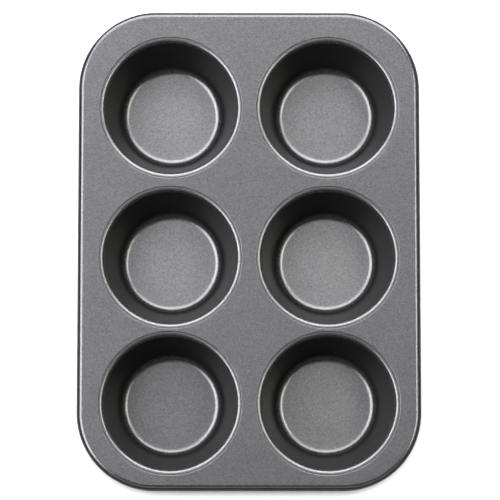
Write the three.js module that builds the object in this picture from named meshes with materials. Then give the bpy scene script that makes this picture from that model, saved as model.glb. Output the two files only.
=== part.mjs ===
// Six-cup muffin pan: drawn steel cups seated flush in a pierced sheet, whose edge is rolled over a wire.
// Millimetres, +Z up. The pan stands on its cup floors, and the origin is under the middle of its outline.
// +Y is the back of the pan and +X its right side.
import * as THREE from "three";

// Driving dimensions: steel and clearances
const sheetGauge = 0.6;
const seatClearance = 0.3;
const wireClearance = 0.3;

// Driving dimensions: cups
const rowNames = ["back", "middle", "front"];
const columnNames = ["left", "right"];
const cupDepth = 37.2;
const lipRadius = 39.15;
const lipFlat = 0.25;
const lipDrop = 0.25;
const floorRadius = 24.1;
const floorFillet = 4.8;

// Driving dimensions: seats pressed into the sheet for the cups
const seatEdgeRound = 0.4;
const collarInnerBend = 0.9;
const collarLength = 3;

// Driving dimensions: flat land left between the seats, and between them and the rolled edge
const landAcross = 7.25;
const landBackRows = 3.75;
const landFrontRows = 0.65;
const landSide = 5.7;
const landBack = 8.3;
const landFront = 2.5;

// Driving dimensions: rolled edge and the wire inside it
const cornerRadius = 43;
const wireRadius = 1.9;
const curlOpening = 1.3;
const wireButtGap = 0.6;

// Facet counts
const ringSegments = 32;
const bendSegments = 3;
const edgeSegments = 2;
const cornerSegments = 8;
const rollSegments = 10;
const wireSides = 10;

// Heights and radii of the cup's lip, and of the seat that follows it underneath
const panTop = lipDrop + cupDepth + sheetGauge;
const lipTop = panTop - lipDrop;
const collarRound = collarInnerBend + sheetGauge;
const lipUnderRound = collarRound + seatClearance;
const lipRound = lipUnderRound + sheetGauge;
const seatRadius = lipRadius + seatClearance;
const seatOuterRadius = seatRadius + sheetGauge;
const seatFloor = lipTop - sheetGauge - seatClearance;

// Bend centres of the cup's section, as (radius, height), and the slope of the wall tangent to both bends
const lipBend = new THREE.Vector2(lipRadius - lipFlat, lipTop - lipRound);
const floorBend = new THREE.Vector2(floorRadius, sheetGauge + floorFillet);
const bendSpan = lipBend.clone().sub(floorBend);
const wallDraft = Math.acos((lipRound + floorFillet) / bendSpan.length()) - bendSpan.angle();
const wallOutward = new THREE.Vector2(Math.cos(wallDraft), -Math.sin(wallDraft));
const wallDownward = new THREE.Vector2(-Math.sin(wallDraft), -Math.cos(wallDraft));
const quarterTurn = Math.PI / 2;
const straightUp = quarterTurn;
const straightDown = -quarterTurn;
const towardAxis = Math.PI - wallDraft;
const awayFromAxis = -wallDraft;

// Plan: cup spacing and the outline that goes round the cups
const rollRadius = wireRadius + wireClearance + sheetGauge;
const seatWidth = 2 * seatOuterRadius;
const rowLands = [landBackRows, landFrontRows];
const pitchAcross = seatWidth + landAcross;
const pitchesAlong = rowLands.map((land) => seatWidth + land);
const blockWidth = (columnNames.length - 1) * pitchAcross + seatWidth;
const blockLength = pitchesAlong.reduce((total, pitch) => total + pitch, seatWidth);
const panWidth = blockWidth + 2 * landSide + 4 * rollRadius;
const panLength = blockLength + landBack + landFront + 4 * rollRadius;
const backRowY = panLength / 2 - 2 * rollRadius - landBack - seatOuterRadius;

const coating = new THREE.MeshStandardMaterial({ color: 0x5c5c61, roughness: 0.45, metalness: 0.6 });
const bareSteel = new THREE.MeshStandardMaterial({ color: 0x9a9a98, roughness: 0.35, metalness: 1 });

// Points of an arc about a bend centre, from one direction to another
function bendArc(centre, radius, fromAngle, toAngle, segments) {
  const clockwise = toAngle < fromAngle;
  const arc = new THREE.EllipseCurve(centre.x, centre.y, radius, radius, fromAngle, toAngle, clockwise);
  return arc.getPoints(segments);
}

// A closed skin grown from loops of points, with bands bridging the loops and flat faces closing them
class Skin {
  constructor() {
    this.points = [];
    this.triangles = [];
  }

  addLoop(points) {
    const first = this.points.length;
    this.points.push(...points);
    return points.map((_, offset) => first + offset);
  }

  bridge(fromLoop, toLoop) {
    fromLoop.forEach((from, index) => {
      const next = (index + 1) % fromLoop.length;
      this.triangles.push(from, toLoop[index], toLoop[next]);
      this.triangles.push(from, toLoop[next], fromLoop[next]);
    });
  }

  bridgeAll(loops) {
    loops.slice(1).forEach((loop, index) => this.bridge(loops[index], loop));
  }

  // Fills a level outline with holes in it, facing up or down
  fillLevel(outline, holes, facingUp) {
    const flatPoints = (loop) => loop.map((index) => new THREE.Vector2().copy(this.points[index]));
    const corners = [outline, ...holes].flat();
    const faces = THREE.ShapeUtils.triangulateShape(flatPoints(outline), holes.map(flatPoints));
    for (const [a, b, c] of faces) {
      this.triangles.push(corners[a], corners[facingUp ? b : c], corners[facingUp ? c : b]);
    }
  }

  // Closes a convex loop with a fan from its first point
  fillFan(loop) {
    for (let index = 1; index < loop.length - 1; index += 1) {
      this.triangles.push(loop[0], loop[index], loop[index + 1]);
    }
  }

  toGeometry() {
    const geometry = new THREE.BufferGeometry().setFromPoints(this.points);
    geometry.setIndex(this.triangles);
    geometry.computeVertexNormals();
    return geometry;
  }
}

// Stations round the outline, counter-clockwise from the left end of the back edge
function outlineStations() {
  const cornerX = panWidth / 2 - cornerRadius;
  const cornerY = panLength / 2 - cornerRadius;
  const corners = [[-cornerX, cornerY], [-cornerX, -cornerY], [cornerX, -cornerY], [cornerX, cornerY]];
  return corners.flatMap(([x, y], corner) =>
    Array.from({ length: cornerSegments + 1 }, (_, step) => {
      const angle = (corner + 1 + step / cornerSegments) * quarterTurn;
      const outward = new THREE.Vector3(Math.cos(angle), Math.sin(angle), 0);
      return { centre: new THREE.Vector3(x, y, 0), outward };
    }),
  );
}

// The station's point at a distance in from the outline, at a height
function stationPoint(station, inset, height) {
  const point = station.centre.clone().addScaledVector(station.outward, cornerRadius - inset);
  return point.setZ(height);
}

// Section of the rolled edge as (inset, height): round the wire on the outside, then back on the inside
function rollSection() {
  const centreHeight = panTop - rollRadius;
  const innerRadius = rollRadius - sheetGauge;
  const curlTurn = 2 * Math.PI - Math.acos((innerRadius - curlOpening) / rollRadius);
  const rollPoint = (radius, step) => {
    const turn = (curlTurn * step) / rollSegments;
    return new THREE.Vector2(rollRadius - radius * Math.sin(turn), centreHeight + radius * Math.cos(turn));
  };
  const steps = Array.from({ length: rollSegments + 1 }, (_, step) => step);
  const outside = steps.map((step) => rollPoint(rollRadius, step));
  const inside = steps.map((step) => rollPoint(innerRadius, step)).reverse();
  return [...outside, ...inside];
}

// Section of a seat as (radius, height): over the step, down the collar beside the cup, and back underneath
function seatSection() {
  const edgeCentre = new THREE.Vector2(seatRadius + seatEdgeRound, panTop - seatEdgeRound);
  const upperBend = bendArc(lipBend, collarRound, straightUp, towardAxis, bendSegments);
  const lowerBend = bendArc(lipBend, collarInnerBend, towardAxis, straightUp, bendSegments);
  const collarEnd = upperBend.at(-1).clone().addScaledVector(wallDownward, collarLength);
  return [
    ...bendArc(edgeCentre, seatEdgeRound, straightUp, Math.PI, edgeSegments),
    new THREE.Vector2(seatRadius, seatFloor),
    ...upperBend,
    collarEnd,
    collarEnd.clone().addScaledVector(wallOutward, sheetGauge),
    ...lowerBend,
    new THREE.Vector2(seatOuterRadius, seatFloor - sheetGauge),
    new THREE.Vector2(seatOuterRadius, panTop - sheetGauge),
  ];
}

// A ring of points about a cup's axis, clockwise seen from above
function seatRing(cup, radius, height) {
  return Array.from({ length: ringSegments }, (_, step) => {
    const angle = (-2 * Math.PI * step) / ringSegments;
    return new THREE.Vector3(cup.x + radius * Math.cos(angle), cup.y + radius * Math.sin(angle), height);
  });
}

// The pierced sheet: flat faces, the rolled edge round them, and a seat with its collar for each cup
function frameGeometry(stations, cups) {
  const skin = new Skin();
  const edgeLoops = rollSection().map((point) =>
    skin.addLoop(stations.map((station) => stationPoint(station, point.x, point.y))),
  );
  const seats = cups.map((cup) =>
    seatSection().map((point) => skin.addLoop(seatRing(cup, point.x, point.y))),
  );
  skin.bridgeAll(edgeLoops);
  seats.forEach((loops) => skin.bridgeAll(loops));
  skin.fillLevel(edgeLoops[0], seats.map((loops) => loops[0]), true);
  skin.fillLevel(edgeLoops.at(-1), seats.map((loops) => loops.at(-1)), false);
  return skin.toGeometry();
}

// The wire inside the rolled edge, with its two ends butted at the middle of the back
function wireGeometry(stations) {
  const skin = new Skin();
  const buttEnd = (side) => ({
    centre: new THREE.Vector3((side * wireButtGap) / 2, panLength / 2 - cornerRadius, 0),
    outward: new THREE.Vector3(0, 1, 0),
  });
  const loops = [buttEnd(-1), ...stations, buttEnd(1)].map((station) =>
    skin.addLoop(
      Array.from({ length: wireSides }, (_, step) => {
        const angle = (2 * Math.PI * step) / wireSides;
        const inset = rollRadius - wireRadius * Math.cos(angle);
        return stationPoint(station, inset, panTop - rollRadius + wireRadius * Math.sin(angle));
      }),
    ),
  );
  skin.bridgeAll(loops);
  skin.fillFan(loops[0]);
  skin.fillFan(loops.at(-1).toReversed());
  return skin.toGeometry();
}

// A drawn cup, turned from its section: up the outside, over the lip, and down the inside to the floor
function cupGeometry() {
  const section = [
    new THREE.Vector2(0, 0),
    ...bendArc(floorBend, floorFillet + sheetGauge, straightDown, awayFromAxis, bendSegments),
    ...bendArc(lipBend, lipUnderRound, towardAxis, straightUp, bendSegments),
    new THREE.Vector2(lipRadius, lipTop - sheetGauge),
    new THREE.Vector2(lipRadius, lipTop),
    ...bendArc(lipBend, lipRound, straightUp, towardAxis, bendSegments),
    ...bendArc(floorBend, floorFillet, awayFromAxis, straightDown, bendSegments),
    new THREE.Vector2(0, sheetGauge),
  ];
  return new THREE.LatheGeometry(section, ringSegments).rotateX(quarterTurn);
}

// Where each cup stands, named by its row and column, with the rows counted from the back
function cupPlaces() {
  return rowNames.flatMap((rowName, row) =>
    columnNames.map((columnName, column) => ({
      name: `cup_${rowName}_${columnName}`,
      x: (column - (columnNames.length - 1) / 2) * pitchAcross,
      y: pitchesAlong.slice(0, row).reduce((y, pitch) => y - pitch, backRowY),
    })),
  );
}

function namedMesh(name, geometry, material) {
  const mesh = new THREE.Mesh(geometry, material);
  mesh.name = name;
  return mesh;
}

const stations = outlineStations();
const cups = cupPlaces();
const pan = new THREE.Group();
pan.add(namedMesh("frame_sheet", frameGeometry(stations, cups), coating));
pan.add(namedMesh("rim_wire", wireGeometry(stations), bareSteel));
for (const cup of cups) {
  const mesh = namedMesh(cup.name, cupGeometry(), coating);
  mesh.position.set(cup.x, cup.y, 0);
  pan.add(mesh);
}

export default pan;
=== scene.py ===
import math

import bmesh
import bpy
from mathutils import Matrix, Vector
from mathutils.geometry import delaunay_2d_cdt


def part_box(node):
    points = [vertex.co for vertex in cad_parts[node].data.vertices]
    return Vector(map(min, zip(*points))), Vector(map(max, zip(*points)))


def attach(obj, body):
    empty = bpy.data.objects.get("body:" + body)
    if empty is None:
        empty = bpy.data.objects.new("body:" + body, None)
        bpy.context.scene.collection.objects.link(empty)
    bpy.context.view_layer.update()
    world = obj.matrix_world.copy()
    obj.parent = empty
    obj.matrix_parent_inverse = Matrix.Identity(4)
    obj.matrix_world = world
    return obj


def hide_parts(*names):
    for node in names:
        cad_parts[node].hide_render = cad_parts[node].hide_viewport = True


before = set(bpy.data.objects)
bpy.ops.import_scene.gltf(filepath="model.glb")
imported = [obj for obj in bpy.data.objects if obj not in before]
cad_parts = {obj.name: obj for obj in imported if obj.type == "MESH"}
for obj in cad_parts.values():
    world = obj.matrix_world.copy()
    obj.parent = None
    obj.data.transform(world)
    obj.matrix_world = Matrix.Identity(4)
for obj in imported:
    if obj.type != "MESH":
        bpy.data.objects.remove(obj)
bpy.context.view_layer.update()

MM = 0.001

# Sheet metal sizes, the same as the solids have
SHEET_GAUGE = 0.6 * MM
SEAT_CLEARANCE = 0.3 * MM
WIRE_CLEARANCE = 0.3 * MM
LIP_FLAT = 0.25 * MM
FLOOR_RADIUS = 24.1 * MM
FLOOR_FILLET = 4.8 * MM
COLLAR_INNER_BEND = 0.9 * MM
COLLAR_LENGTH = 3 * MM
CORNER_RADIUS = 43 * MM
WIRE_RADIUS = 1.9 * MM
WIRE_BUTT_GAP = 0.6 * MM
CURL_OPENING = 1.3 * MM

# Fine forms that only the finished surface has, with the tilt in degrees
SEAT_EDGE_ROUND = 0.5 * MM
SEAM_GAP = 0.13 * MM
LIP_EDGE_ROUND = 0.06 * MM
LIP_TILT = 8.5
ROLL_SHOULDER = 3.4 * MM
STEP_FILLET = 0.2 * MM
UNDER_FILLET = 0.12 * MM
WIRE_END_CHAMFER = 0.3 * MM
FLAT_MARGIN = 0.3 * MM

# Fineness of the meshes
RING_SEGMENTS = 96
CORNER_SEGMENTS = 24
STRAIGHT_STEP = 8 * MM
SECTION_STEP = 4 * MM
GRID_STEP = 6 * MM
GRID_CLEARANCE = 2.5 * MM
BEND_STEPS = 10
EDGE_STEPS = 5
ROLL_STEPS = 24
SHOULDER_STEPS = 12
WIRE_SIDES = 24

# The triangulation's mode that leaves holes open, and the distance within which points are one
INSIDE_WITH_HOLES = 2
SAME_POINT = 1e-9

# Loops at each end of the rolled edge's section that still lie on the flat of the sheet
FLAT_LOOPS = 2

# A station of the outline is on the back edge if the y of its outward direction is above this
FACING_BACK = 0.999

# Mesh attributes that are 1 on the rolled edge and on the inside of a cup
ROLLED_EDGE = "rolled_edge"
CUP_INSIDE = "cup_inside"

CUPS = [name for name in sorted(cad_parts) if name.startswith("cup_")]

# Heights and radii read from the frame
sheet_low, sheet_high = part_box("frame_sheet")
pan_top = sheet_high.z
half_width = (sheet_high.x - sheet_low.x) / 2
half_length = (sheet_high.y - sheet_low.y) / 2
first_cup_low, first_cup_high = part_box(CUPS[0])
lip_radius = (first_cup_high.x - first_cup_low.x) / 2
lip_top = first_cup_high.z

# The bends of a cup, of the seat under its lip and of the rolled edge; a bend's centre is given as
# (radius, height), and the wall's draft in degrees is that of the line that touches both bends
collar_round = COLLAR_INNER_BEND + SHEET_GAUGE
lip_under_round = collar_round + SEAT_CLEARANCE
lip_round = lip_under_round + SHEET_GAUGE
seat_radius = lip_radius + SEAT_CLEARANCE
seat_outer = seat_radius + SHEET_GAUGE
seat_floor = lip_top - SHEET_GAUGE - SEAT_CLEARANCE
lip_bend = Vector((lip_radius - LIP_FLAT, lip_top - lip_round))
floor_bend = Vector((FLOOR_RADIUS, SHEET_GAUGE + FLOOR_FILLET))
bend_span = lip_bend - floor_bend
wall_draft = math.degrees(
    math.acos((lip_round + FLOOR_FILLET) / bend_span.length)
    - math.atan2(bend_span.y, bend_span.x)
)
roll_radius = WIRE_RADIUS + WIRE_CLEARANCE + SHEET_GAUGE


def direction(degrees):
    """Unit vector in a section's plane."""
    angle = math.radians(degrees)
    return Vector((math.cos(angle), math.sin(angle)))


def arc(centre, radius, start, end, steps):
    """Points of an arc in a section, between two directions in degrees."""
    turns = [start + (end - start) * i / steps for i in range(steps + 1)]
    return [centre + radius * direction(turn) for turn in turns]


def spaced(start, end, step):
    """Points between two points of a section, without the two ends."""
    count = max(1, math.ceil((end - start).length / step))
    return [start.lerp(end, i / count) for i in range(1, count)]


class Skin:
    """A closed surface grown from loops of points."""

    def __init__(self):
        self.points = []
        self.faces = []

    def loop(self, points):
        """Add a loop of points; loops are lists of point numbers."""
        first = len(self.points)
        self.points.extend(points)
        return list(range(first, len(self.points)))

    def bridge(self, loops):
        """Bands of quads between neighbouring loops; a loop of one point closes in a fan."""
        for near, far in zip(loops, loops[1:]):
            count = max(len(near), len(far))
            for i in range(count):
                j = (i + 1) % count
                quad = [near[i % len(near)], far[i % len(far)],
                        far[j % len(far)], near[j % len(near)]]
                self.faces.append(list(dict.fromkeys(quad)))

    def cap(self, loop):
        self.faces.append(list(loop))

    def fill(self, loops, grid, facing_up):
        """Level triangles between an outline and the holes in it, through a grid of points."""
        height = self.points[loops[0][0]].z
        inner = self.loop([Vector((x, y, height)) for x, y in grid])
        corners = [index for loop in loops for index in loop] + inner
        flat = [self.points[index].xy for index in corners]
        borders = []
        for loop in loops:
            first = sum(len(before) for before in borders)
            borders.append(list(range(first, first + len(loop))))
        _, _, triangles, sources, _, _ = delaunay_2d_cdt(
            flat, [], borders, INSIDE_WITH_HOLES, SAME_POINT
        )
        for triangle in triangles:
            face = [corners[sources[index][0]] for index in triangle]
            self.faces.append(face if facing_up else face[::-1])

    def build(self, name, material):
        mesh = bpy.data.meshes.new(name)
        mesh.from_pydata(self.points, [], self.faces)
        mesh.validate()
        mesh.shade_smooth()
        mesh.materials.append(material)
        piece = bpy.data.objects.new(name, mesh)
        bpy.context.collection.objects.link(piece)
        return piece


def mark(piece, name, loops):
    """A mesh attribute that is 1 on some of a piece's loops and 0 elsewhere."""
    values = piece.data.attributes.new(name, "FLOAT", "POINT").data
    for loop in loops:
        for index in loop:
            values[index].value = 1.0


def outline_stations():
    """(centre, outward) pairs round the pan's outline, counter-clockwise from the back left."""
    x, y = half_width - CORNER_RADIUS, half_length - CORNER_RADIUS
    centres = [Vector((-x, y)), Vector((-x, -y)), Vector((x, -y)), Vector((x, y))]
    stations = []
    for corner, centre in enumerate(centres):
        start = 90 * (corner + 1)
        turns = arc(Vector((0, 0)), 1, start, start + 90, CORNER_SEGMENTS)
        stations += [(centre, outward) for outward in turns]
        straight = spaced(centre, centres[(corner + 1) % len(centres)], STRAIGHT_STEP)
        stations += [(point, direction(start + 90)) for point in straight]
    return stations


def station_point(station, inset, height):
    """A point at a station, a distance inside the outline."""
    centre, outward = station
    return (centre + outward * (CORNER_RADIUS - inset)).to_3d() + Vector((0, 0, height))


def ring(centre, radius, height):
    """A level ring about a cup's axis, clockwise from above; one point on the axis itself."""
    if radius == 0:
        return [Vector((centre.x, centre.y, height))]
    turns = arc(centre, radius, 360, 0, RING_SEGMENTS)[:-1]
    return [Vector((point.x, point.y, height)) for point in turns]


def roll_section():
    """The rolled edge as (inset, height): round the wire, over the curl's end and back inside."""
    centre = Vector((roll_radius, pan_top - roll_radius))
    inner_radius = roll_radius - SHEET_GAUGE
    end = 90 + 360 - math.degrees(math.acos((inner_radius - CURL_OPENING) / roll_radius))
    end_centre = centre + (roll_radius - SHEET_GAUGE / 2) * direction(end)

    def shoulder(thickness):
        """The upper outer quarter, stretched inwards so that the top bends over gently."""
        stretched = []
        for point in arc(Vector((0, 0)), 1, 90, 180, SHOULDER_STEPS):
            inset = ROLL_SHOULDER + (ROLL_SHOULDER - thickness) * point.x
            stretched.append(Vector((inset, centre.y + (roll_radius - thickness) * point.y)))
        return stretched

    return (
        [Vector((ROLL_SHOULDER + FLAT_MARGIN, pan_top))]
        + shoulder(0)
        + arc(centre, roll_radius, 180, end, ROLL_STEPS)[1:]
        + arc(end_centre, SHEET_GAUGE / 2, end, end + 180, EDGE_STEPS)[1:-1]
        + arc(centre, inner_radius, end, 180, ROLL_STEPS)
        + shoulder(SHEET_GAUGE)[-2::-1]
        + [Vector((ROLL_SHOULDER + FLAT_MARGIN, pan_top - SHEET_GAUGE))]
    )


def seat_section():
    """A cup's seat as (radius, height): down the step, along the collar and back underneath."""
    edge = Vector((seat_radius + SEAT_EDGE_ROUND, pan_top - SEAT_EDGE_ROUND))
    step = Vector((seat_radius - STEP_FILLET, seat_floor + STEP_FILLET))
    under = Vector((seat_outer + UNDER_FILLET, pan_top - SHEET_GAUGE - UNDER_FILLET))
    inward = 180 - wall_draft
    upper_bend = arc(lip_bend, collar_round, 90, inward, BEND_STEPS)
    collar_end = upper_bend[-1] + COLLAR_LENGTH * direction(inward + 90)
    collar_edge = collar_end - SHEET_GAUGE / 2 * direction(inward)
    return (
        [Vector((edge.x + FLAT_MARGIN, pan_top))]
        + arc(edge, SEAT_EDGE_ROUND, 90, 180, EDGE_STEPS)
        + arc(step, STEP_FILLET, 0, -90, EDGE_STEPS)
        + upper_bend
        + arc(collar_edge, SHEET_GAUGE / 2, inward, inward + 180, EDGE_STEPS)
        + arc(lip_bend, COLLAR_INNER_BEND, inward, 90, BEND_STEPS)
        + arc(step, STEP_FILLET + SHEET_GAUGE, -90, 0, EDGE_STEPS)
        + arc(under, UNDER_FILLET, 180, 90, EDGE_STEPS)
    )


def cup_section():
    """A cup as (radius, height): up the outside to the lip's edge, and from there down inside."""
    inward, outward = 180 - wall_draft, -wall_draft
    lip_edge = seat_radius - SEAM_GAP - LIP_EDGE_ROUND
    outer_bend = arc(floor_bend, FLOOR_FILLET + SHEET_GAUGE, -90, outward, BEND_STEPS)
    under_lip = arc(lip_bend, lip_under_round, inward, 90, BEND_STEPS)
    over_lip = arc(lip_bend, lip_round, 90 + LIP_TILT, inward, BEND_STEPS)
    inner_bend = arc(floor_bend, FLOOR_FILLET, outward, -90, BEND_STEPS)
    base, floor = Vector((0, 0)), Vector((0, SHEET_GAUGE))
    edge_low = Vector((lip_edge, lip_top - SHEET_GAUGE + LIP_EDGE_ROUND))
    lip_rise = (lip_edge - over_lip[0].x) * math.tan(math.radians(LIP_TILT))
    edge_high = Vector((lip_edge, over_lip[0].y + lip_rise - LIP_EDGE_ROUND))
    outside = (
        [base]
        + spaced(base, outer_bend[0], SECTION_STEP)
        + outer_bend
        + spaced(outer_bend[-1], under_lip[0], SECTION_STEP)
        + under_lip
        + arc(edge_low, LIP_EDGE_ROUND, -90, 0, EDGE_STEPS)
    )
    inside = (
        arc(edge_high, LIP_EDGE_ROUND, 0, 90 + LIP_TILT, EDGE_STEPS)
        + over_lip
        + spaced(over_lip[-1], inner_bend[0], SECTION_STEP)
        + inner_bend
        + spaced(inner_bend[-1], floor, SECTION_STEP)
        + [floor]
    )
    return outside, inside


def cup_centre(name):
    low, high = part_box(name)
    return ((low + high) / 2).xy


def flat_grid():
    """Points of a square grid on the flat of the sheet, clear of its rolled edge and seats."""
    reach = roll_radius + GRID_CLEARANCE
    columns, rows = int(half_width / GRID_STEP), int(half_length / GRID_STEP)
    centres = [cup_centre(name) for name in CUPS]
    grid = []
    for column in range(-columns, columns + 1):
        for row in range(-rows, rows + 1):
            point = Vector((column * GRID_STEP, row * GRID_STEP))
            corner = Vector((max(0, abs(point.x) - half_width + CORNER_RADIUS),
                             max(0, abs(point.y) - half_length + CORNER_RADIUS)))
            inside = corner.length < CORNER_RADIUS - reach
            nearest = min((point - centre).length for centre in centres)
            if inside and nearest > seat_outer + GRID_CLEARANCE:
                grid.append(point)
    return grid


def make_sheet(material):
    skin = Skin()
    stations = outline_stations()
    edge_loops = [
        skin.loop([station_point(station, point.x, point.y) for station in stations])
        for point in roll_section()
    ]
    seats = [
        [skin.loop(ring(cup_centre(name), point.x, point.y)) for point in seat_section()]
        for name in CUPS
    ]
    skin.bridge(edge_loops)
    for loops in seats:
        skin.bridge(loops)
    grid = flat_grid()
    skin.fill([edge_loops[0]] + [loops[0] for loops in seats], grid, True)
    skin.fill([edge_loops[-1]] + [loops[-1] for loops in seats], grid, False)
    piece = skin.build("sheet_skin", material)
    mark(piece, ROLLED_EDGE, edge_loops[FLAT_LOOPS:-FLAT_LOOPS])
    return piece


def make_cup(name, material):
    skin = Skin()
    centre = cup_centre(name)
    outside, inside = (
        [skin.loop(ring(centre, point.x, point.y)) for point in section]
        for section in cup_section()
    )
    skin.bridge(outside + inside)
    piece = skin.build(name + "_skin", material)
    mark(piece, CUP_INSIDE, inside)
    return piece


def wire_stations(end_reach):
    """The outline's stations from the butt joint round to it again, without those in the joint."""
    stations = outline_stations()
    others = [station for station in stations if station[1].y <= FACING_BACK]
    back = [station for station in stations if station[1].y > FACING_BACK]
    back.sort(key=lambda station: -station[0].x)
    left = [station for station in back if station[0].x < -end_reach]
    right = [station for station in back if station[0].x > end_reach]
    return left + others + right


def make_wire(material):
    """The wire in the rolled edge, with chamfered ends that meet at the middle of the back."""
    skin = Skin()
    height = pan_top - roll_radius
    back = half_length - CORNER_RADIUS

    def end_station(x):
        return Vector((x, back)), Vector((0, 1))

    gap, chamfer = WIRE_BUTT_GAP / 2, WIRE_END_CHAMFER
    end_radius = WIRE_RADIUS - chamfer
    path = [(end_station(-gap), end_radius), (end_station(-gap - chamfer), WIRE_RADIUS)]
    path += [(station, WIRE_RADIUS) for station in wire_stations(gap + chamfer)]
    path += [(end_station(gap + chamfer), WIRE_RADIUS), (end_station(gap), end_radius)]
    loops = []
    for station, radius in path:
        section = arc(Vector((0, 0)), radius, 0, 360, WIRE_SIDES)[:-1]
        loops.append(skin.loop([
            station_point(station, roll_radius - point.x, height + point.y) for point in section
        ]))
    skin.bridge(loops)
    skin.cap(loops[0])
    skin.cap(loops[-1][::-1])
    return skin.build("wire_skin", material)


# Materials

# The coating's colours, seen straight on and at a grazing angle
SHEET_GREY = (0.1175, 0.1167, 0.1214)
SHEET_EDGE_TINT = (0.235, 0.235, 0.235, 1)
CUP_GREY = (0.125, 0.1262, 0.1272)
CUP_EDGE_TINT = (0.485, 0.485, 0.48, 1)

# The coating's finish; a low and a high value of a noise are where what it drives starts and ends
COATING_ROUGHNESS = 0.285
COATING_ROUGHNESS_SPREAD = 0.05
COATING_METALLIC = 0.9
GRAIN_SIZE = 0.9 * MM
GRAIN_DETAIL = 2.5
GRAIN_ROUGHNESS = 0.6
GRAIN_CONTRAST = 1.2
GRAIN_LOW = 0.3
GRAIN_HIGH = 0.7
FLECK_SIZE = 0.7 * MM
FLECK_DETAIL = 0.0
FLECK_TONE = 0.35
FLECK_LOW = 0.72
FLECK_HIGH = 0.9
MOTTLE_SIZE = 22 * MM
MOTTLE_DETAIL = 3.0
MOTTLE_CONTRAST = 0.12
PEEL_SIZE = 2.2 * MM
PEEL_HEIGHT = 0.006 * MM

# How dark and smooth the coating is on the rolled edge; the darkening is a painted shade that dims
# the edge's highlights
ROLLED_EDGE_PAINTED_SHADE = 0.69
ROLLED_EDGE_SMOOTHING = 0.1

# A painted shade darkens a cup below its lip's bend and far more on its inside wall, and painted
# light makes its flat floor lighter; the wall's finish, with fine level lines from the drawing of
# the metal
CUP_BEND_PAINTED_SHADE = 0.82
CUP_WALL_PAINTED_SHADE = 0.2
# Each cup's painted light on its flat floor
CUP_FLOOR_PAINTED_LIGHT = {
    "cup_back_left": 1.5, "cup_back_right": 1.47,
    "cup_middle_left": 1.55, "cup_middle_right": 1.63,
    "cup_front_left": 1.2, "cup_front_right": 1.49,
}
WALL_METALLIC = 0.52
WALL_SMOOTHING = 0.09
WALL_PEEL = 0.15
DRAW_LINE_SIZE = 1.5 * MM
DRAW_LINE_STRETCH = (0.05, 0.05, 1)
DRAW_LINE_CONTRAST = 0.12

# Heights at which the painted light and shade and the coating's finish change in a cup, from shares
# of its floor's bend and its lip's bend
FLOOR_SHARE = 0.05
WALL_START_SHARE = 0.08
WALL_FULL_SHARE = 0.5
LIP_SHARE = 0.5
floor_top = SHEET_GAUGE + FLOOR_SHARE * FLOOR_FILLET
wall_start = SHEET_GAUGE + WALL_START_SHARE * FLOOR_FILLET
wall_full = SHEET_GAUGE + WALL_FULL_SHARE * FLOOR_FILLET
lip_start = lip_bend.y
lip_middle = lip_bend.y + LIP_SHARE * lip_round

# The wire's colour and finish
WIRE_GREY = (0.58, 0.58, 0.57)
DULL_SIZE = 6 * MM
DULL_DETAIL = 3.0
DULL_TONES = (0.8, 1.15)
DULL_ROUGHNESS = (0.26, 0.46)
WIRE_LINE_SIZE = 0.4 * MM
WIRE_LINE_DETAIL = 1.0
WIRE_LINE_CONTRAST = 0.2


def plug(tree, socket, value):
    """Set a socket to a value, or link it to another node's output."""
    if isinstance(value, bpy.types.NodeSocket):
        tree.links.new(value, socket)
    else:
        socket.default_value = value


def add(tree, kind, settings=None, inputs=None):
    """A new node with its settings and its inputs, which are values or other nodes' outputs."""
    node = tree.nodes.new(kind)
    for name, value in (settings or {}).items():
        setattr(node, name, value)
    for name, value in (inputs or {}).items():
        plug(tree, node.inputs[name], value)
    return node


def object_place(tree):
    return add(tree, "ShaderNodeTexCoord").outputs["Object"]


def attribute(tree, name):
    return add(tree, "ShaderNodeAttribute", {"attribute_name": name}).outputs["Fac"]


def noise(tree, coordinates, size, detail=2.0, roughness=0.5):
    """Noise about 0.5 whose blotches are about one size across, in metres."""
    inputs = {"Vector": coordinates, "Scale": 1 / size, "Detail": detail, "Roughness": roughness}
    return add(tree, "ShaderNodeTexNoise", None, inputs).outputs["Fac"]


def remap(tree, value, low, high, start=0.0, end=1.0, clamp=False):
    """A value that runs from low to high while the given one runs from start to end."""
    inputs = {"Value": value, "From Min": start, "From Max": end, "To Min": low, "To Max": high}
    return add(tree, "ShaderNodeMapRange", {"clamp": clamp}, inputs).outputs["Result"]


def vary(tree, value, contrast):
    """A factor about 1 that a noise drives."""
    return remap(tree, value, 1 - contrast / 2, 1 + contrast / 2)


def maths(tree, operation, first, second):
    node = add(tree, "ShaderNodeMath", {"operation": operation}, {0: first, 1: second})
    return node.outputs["Value"]


def product(tree, first, *others):
    for other in others:
        first = maths(tree, "MULTIPLY", first, other)
    return first


def tinted(tree, colour, tone):
    """A colour made lighter or darker by a factor."""
    node = add(tree, "ShaderNodeVectorMath", {"operation": "SCALE"}, {0: colour, "Scale": tone})
    return node.outputs["Vector"]


def new_material(name):
    material = bpy.data.materials.new(name)
    material.use_nodes = True
    return material, material.node_tree, material.node_tree.nodes["Principled BSDF"]


def sheet_places(tree):
    """Tone factors, smoothing, metallic and orange peel by place on the sheet."""
    rolled = attribute(tree, ROLLED_EDGE)
    # A painted shade on the rolled edge that dims its highlights
    tones = [remap(tree, rolled, 1.0, ROLLED_EDGE_PAINTED_SHADE)]
    smoothing = maths(tree, "MULTIPLY", rolled, ROLLED_EDGE_SMOOTHING)
    return tones, smoothing, COATING_METALLIC, 1.0


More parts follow.
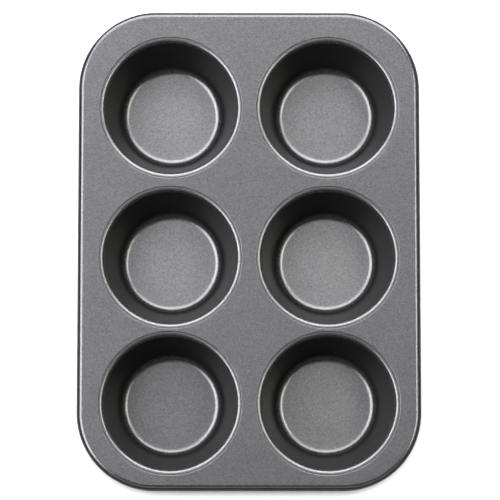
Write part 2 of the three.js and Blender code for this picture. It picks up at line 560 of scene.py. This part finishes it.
def cup_places(tree, place, floor_painted_light):
    """Tone factors, smoothing, metallic and orange peel by place on a cup."""
    height = add(tree, "ShaderNodeSeparateXYZ", None, {"Vector": place}).outputs["Z"]
    inside = attribute(tree, CUP_INSIDE)
    # The inside wall, where the painted shade is darkest and the coating less metallic
    above_bend = remap(tree, height, 0.0, 1.0, wall_start, wall_full, True)
    below_lip = remap(tree, height, 1.0, 0.0, lip_start, lip_middle, True)
    dark = product(tree, above_bend, below_lip, inside)
    above_floor = remap(tree, height, 0.0, 1.0, floor_top, wall_full, True)
    below_top = remap(tree, height, 1.0, 0.0, lip_start, lip_top, True)
    smooth = product(tree, above_floor, below_top, inside)
    level = {"Vector": place, "Scale": DRAW_LINE_STRETCH}
    stretched = add(tree, "ShaderNodeMapping", None, level).outputs["Vector"]
    # Painted light on the flat floor, painted shade below the lip's bend and far more on the inside
    # wall, then fine lines
    tones = [
        remap(tree, height, floor_painted_light / CUP_BEND_PAINTED_SHADE, 1.0, SHEET_GAUGE, floor_top, True),
        remap(tree, height, CUP_BEND_PAINTED_SHADE, 1.0, lip_start, lip_middle, True),
        remap(tree, dark, 1.0, CUP_WALL_PAINTED_SHADE / CUP_BEND_PAINTED_SHADE),
        vary(tree, noise(tree, stretched, DRAW_LINE_SIZE), DRAW_LINE_CONTRAST),
    ]
    smoothing = maths(tree, "MULTIPLY", smooth, WALL_SMOOTHING)
    metallic = remap(tree, dark, COATING_METALLIC, WALL_METALLIC)
    return tones, smoothing, metallic, remap(tree, smooth, 1.0, WALL_PEEL)


def coating(name, grey, edge_tint, floor_painted_light=None):
    """Satin dark grey non-stick coating: grain, light flecks, mottle and slight orange peel.

    A cup's coating is given the painted light on the cup's floor, and the sheet's coating none;
    both get painted shade.
    """
    material, tree, shader = new_material(name)
    place = object_place(tree)
    grain = noise(tree, place, GRAIN_SIZE, GRAIN_DETAIL, GRAIN_ROUGHNESS)
    mottle = noise(tree, place, MOTTLE_SIZE, MOTTLE_DETAIL)
    fleck = noise(tree, place, FLECK_SIZE, FLECK_DETAIL)
    if floor_painted_light:
        tones, smoothing, metallic, peel_strength = cup_places(tree, place, floor_painted_light)
    else:
        tones, smoothing, metallic, peel_strength = sheet_places(tree)

    tone = product(tree, vary(tree, grain, GRAIN_CONTRAST), vary(tree, mottle, MOTTLE_CONTRAST))
    flecks = remap(tree, fleck, 0.0, FLECK_TONE, FLECK_LOW, FLECK_HIGH, True)
    tone = product(tree, maths(tree, "ADD", tone, flecks), *tones)
    rough_high = COATING_ROUGHNESS + COATING_ROUGHNESS_SPREAD
    rough = remap(tree, grain, COATING_ROUGHNESS, rough_high, GRAIN_LOW, GRAIN_HIGH, True)
    peel = {
        "Height": noise(tree, place, PEEL_SIZE),
        "Distance": PEEL_HEIGHT,
        "Strength": peel_strength,
    }
    bump = add(tree, "ShaderNodeBump", None, peel)

    plug(tree, shader.inputs["Base Color"], tinted(tree, grey, tone))
    plug(tree, shader.inputs["Roughness"], maths(tree, "SUBTRACT", rough, smoothing))
    plug(tree, shader.inputs["Metallic"], metallic)
    shader.inputs["Specular IOR Level"].default_value = 0.0
    shader.inputs["Specular Tint"].default_value = edge_tint
    plug(tree, shader.inputs["Normal"], bump.outputs["Normal"])
    return material


def drawn_steel(name):
    """Bright drawn wire with fine lines and a few dull patches."""
    material, tree, shader = new_material(name)
    place = object_place(tree)
    dull = noise(tree, place, DULL_SIZE, DULL_DETAIL)
    lines = noise(tree, place, WIRE_LINE_SIZE, WIRE_LINE_DETAIL)
    tone = product(tree, remap(tree, dull, *DULL_TONES), vary(tree, lines, WIRE_LINE_CONTRAST))
    plug(tree, shader.inputs["Base Color"], tinted(tree, WIRE_GREY, tone))
    plug(tree, shader.inputs["Roughness"], remap(tree, dull, *DULL_ROUGHNESS))
    shader.inputs["Metallic"].default_value = 1.0
    return material


# The sheet's coating, with the painted shade on its rolled edge
sheet_coating = coating("sheet_coating_finish", SHEET_GREY, SHEET_EDGE_TINT)
wire_steel = drawn_steel("wire_steel_finish")

sheet = make_sheet(sheet_coating)
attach(sheet, "root")
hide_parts("frame_sheet")

wire = make_wire(wire_steel)
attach(wire, "root")
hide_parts("rim_wire")

for cup_name in CUPS:
    # Each cup's coating, with its floor's painted light and the painted shade on its bend and wall
    finish = coating(cup_name + "_finish", CUP_GREY, CUP_EDGE_TINT, CUP_FLOOR_PAINTED_LIGHT[cup_name])
    cup = make_cup(cup_name, finish)
    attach(cup, "root")
    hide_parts(cup_name)

# Ground, light and camera
WHITE = (1, 1, 1, 1)
BLACK = (0, 0, 0, 1)
GROUND_RADIUS = 0.75
GROUND_DROP = 0.2 * MM
GROUND_GLOW = 0.18
GROUND_GREY = (0.28, 0.28, 0.28, 1)


def glowing(name, colour, glow):
    """A matt material of the stage that also shines white."""
    material, _, shader = new_material(name)
    shader.inputs["Base Color"].default_value = colour
    shader.inputs["Roughness"].default_value = 1.0
    shader.inputs["Specular IOR Level"].default_value = 0.0
    shader.inputs["Emission Color"].default_value = WHITE
    shader.inputs["Emission Strength"].default_value = glow
    return material


ground_mesh = bpy.data.meshes.new("ground")
ground_edge = arc(Vector((0, 0)), GROUND_RADIUS, 0, 360, RING_SEGMENTS)[:-1]
ground_mesh.from_pydata([point.to_3d() for point in ground_edge], [], [list(range(RING_SEGMENTS))])
ground_mesh.materials.append(glowing("ground_paper", GROUND_GREY, GROUND_GLOW))
ground = bpy.data.objects.new("ground", ground_mesh)
ground.location.z = -GROUND_DROP
bpy.context.collection.objects.link(ground)

# A white dome all round that only the camera sees, so it lights nothing and no surface reflects it
BACKDROP_RADIUS = 5.0
BACKDROP_SEGMENTS = 32
BACKDROP_RINGS = 16
BACKDROP_GLOW = 1.3

backdrop_mesh = bpy.data.meshes.new("backdrop")
dome = bmesh.new()
bmesh.ops.create_uvsphere(
    dome, u_segments=BACKDROP_SEGMENTS, v_segments=BACKDROP_RINGS, radius=BACKDROP_RADIUS
)
dome.to_mesh(backdrop_mesh)
dome.free()
backdrop_mesh.materials.append(glowing("backdrop_white", BLACK, BACKDROP_GLOW))
backdrop = bpy.data.objects.new("backdrop", backdrop_mesh)
backdrop.visible_diffuse = False
backdrop.visible_glossy = False
backdrop.visible_transmission = False
backdrop.visible_shadow = False
bpy.context.collection.objects.link(backdrop)

WORLD_GLOW = 0.03

world = bpy.data.worlds.new("studio")
world.use_nodes = True
background = world.node_tree.nodes["Background"]
background.inputs["Color"].default_value = WHITE
background.inputs["Strength"].default_value = WORLD_GLOW
bpy.context.scene.world = world
bpy.context.scene.view_settings.view_transform = "Standard"


def softbox(name, bearing, lean, distance, across, along, radiance, colour=(1, 1, 1)):
    """A rectangular lamp aimed at the middle of the pan.

    bearing: degrees from the right of the pan towards its back; lean: degrees off the vertical;
    across: size level with the ground; along: size up and down; radiance: brightness of its face.
    """
    data = bpy.data.lights.new(name, "AREA")
    data.shape = "RECTANGLE"
    data.size = across
    data.size_y = along
    data.energy = radiance * math.pi * across * along
    data.color = colour
    lamp = bpy.data.objects.new(name, data)
    reach = distance * math.sin(math.radians(lean))
    height = distance * math.cos(math.radians(lean))
    lamp.location = (reach * direction(bearing)).to_3d() + Vector((0, 0, pan_top + height))
    lamp.rotation_euler = (math.radians(lean), 0, math.radians(bearing + 90))
    bpy.context.collection.objects.link(lamp)
    return lamp


def light_only(lamp, target):
    """Make a lamp light one object alone."""
    receivers = bpy.data.collections.new(lamp.name + "_receivers")
    receivers.objects.link(target)
    lamp.light_linking.receiver_collection = receivers


WARM = (1.0, 0.97, 0.92)
COOL = (0.97, 0.965, 1.0)

softbox("left_lamp", bearing=180, lean=37.5, distance=1.2,
        across=1.15, along=0.64, radiance=10.4, colour=COOL)
softbox("back_lamp", bearing=90, lean=52.5, distance=1.2,
        across=2.0, along=0.85, radiance=8.9, colour=COOL)
softbox("back_fill_lamp", bearing=95, lean=26.5, distance=1.6,
        across=1.0, along=0.54, radiance=2.0, colour=COOL)
softbox("right_inner_lamp", bearing=5, lean=30.5, distance=1.4,
        across=0.8, along=0.34, radiance=11.8, colour=WARM)
softbox("right_lamp", bearing=0, lean=46, distance=1.2,
        across=1.1, along=0.55, radiance=1.0, colour=WARM)
softbox("top_lamp", bearing=105, lean=3.3, distance=2.2,
        across=0.5, along=0.48, radiance=1.94, colour=COOL)

# A narrow lamp straight above the ground leaves a short shadow in front of the pan, and a dim one
# in front of the sheet draws the fine line along its front edge
paper_lamp = softbox("paper_lamp", bearing=90, lean=0, distance=2.2,
                     across=0.6, along=0.25, radiance=285)
light_only(paper_lamp, ground)
front_edge_lamp = softbox("front_edge_lamp", bearing=270, lean=45, distance=1.2,
                          across=2.0, along=0.42, radiance=1.25)
light_only(front_edge_lamp, sheet)

# The camera's tilt and yaw are in degrees, and its sensor in millimetres
CAMERA_ABOVE_SHEET = 1300 * MM
CAMERA_IN_FRONT = 130 * MM
CAMERA_ASIDE = -6 * MM
CAMERA_TILT = 5.69
CAMERA_YAW = -0.287
CAMERA_REACH = 10
FRAME_PIXELS = 500
FOCAL_PIXELS = 2358.5
SENSOR_WIDTH = 36

camera_data = bpy.data.cameras.new("camera")
camera_data.sensor_width = SENSOR_WIDTH
camera_data.lens = FOCAL_PIXELS * SENSOR_WIDTH / FRAME_PIXELS
camera_data.clip_end = CAMERA_REACH
camera = bpy.data.objects.new("camera", camera_data)
camera.location = (CAMERA_ASIDE, -CAMERA_IN_FRONT, pan_top + CAMERA_ABOVE_SHEET)
camera.rotation_euler = (math.radians(CAMERA_TILT), math.radians(CAMERA_YAW), 0)
bpy.context.collection.objects.link(camera)
bpy.context.scene.camera = camera
